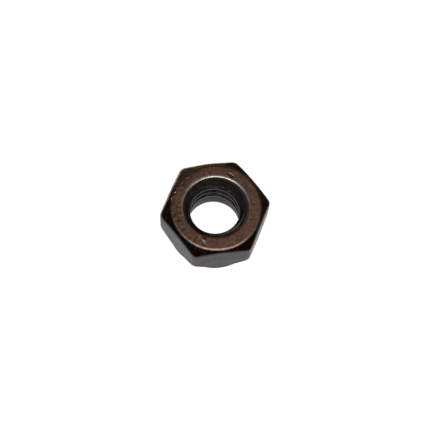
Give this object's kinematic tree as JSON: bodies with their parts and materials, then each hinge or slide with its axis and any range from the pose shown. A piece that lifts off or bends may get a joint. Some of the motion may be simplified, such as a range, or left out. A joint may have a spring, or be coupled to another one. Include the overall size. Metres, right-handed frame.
{
  "type": "prevailing torque hex lock nut",
  "caption": "Black hexagon lock nut for an M8 bolt: steel body with a round collar whose rolled lip holds a plastic grip ring.",
  "frame": {"origin": "on the thread axis, in the plane that the rolled lip of the collar stands on", "axes": "+Z along the thread axis, from the collar towards the bearing face; +X through two opposite corners of the hexagon; +Y square to a flat"},
  "size_m": [0.0146, 0.013, 0.0078],
  "materials": {
    "steel": "black oxide on turned and cold formed steel, lightly oiled, worn bright at the edges",
    "polyamide": "turned black polyamide, satin"
  },
  "bodies": {
    "root": {"nut_body": "steel", "insert_ring": "polyamide"}
  },
  "joints": []
}
